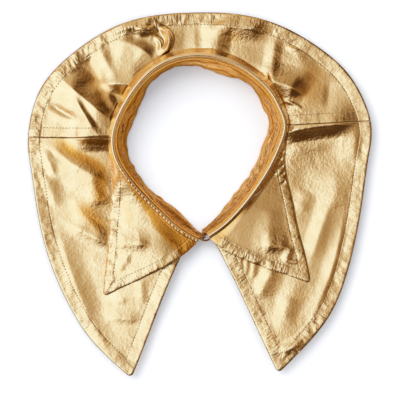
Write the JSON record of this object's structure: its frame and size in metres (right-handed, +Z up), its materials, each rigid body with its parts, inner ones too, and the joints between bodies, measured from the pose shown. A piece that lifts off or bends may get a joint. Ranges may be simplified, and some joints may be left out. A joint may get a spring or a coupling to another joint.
{
  "type": "detachable shirt collar",
  "caption": "Detachable collar in gold foil leather: round back yoke, pointed fronts and a pointed leaf rolled over a low neck stand, closed at the front by a wire hook and eye.",
  "frame": {"origin": "on the table, under the middle of the collar's outline", "axes": "+Z up from the table; +Y towards the back of the neck; +X to the right seen from above with the points towards the viewer"},
  "size_m": [0.2569, 0.2735, 0.0285],
  "materials": {
    "foil_leather": "crinkled gold foil",
    "foil_leather_stand": "crinkled gold foil, warmer and less worn",
    "closure_wire": "polished"
  },
  "bodies": {
    "root": {"back_yoke": "foil_leather", "front_left": "foil_leather", "front_right": "foil_leather", "collar_leaf": "foil_leather", "neck_stand": "foil_leather_stand", "hook": "closure_wire", "eye": "closure_wire"}
  },
  "joints": []
}
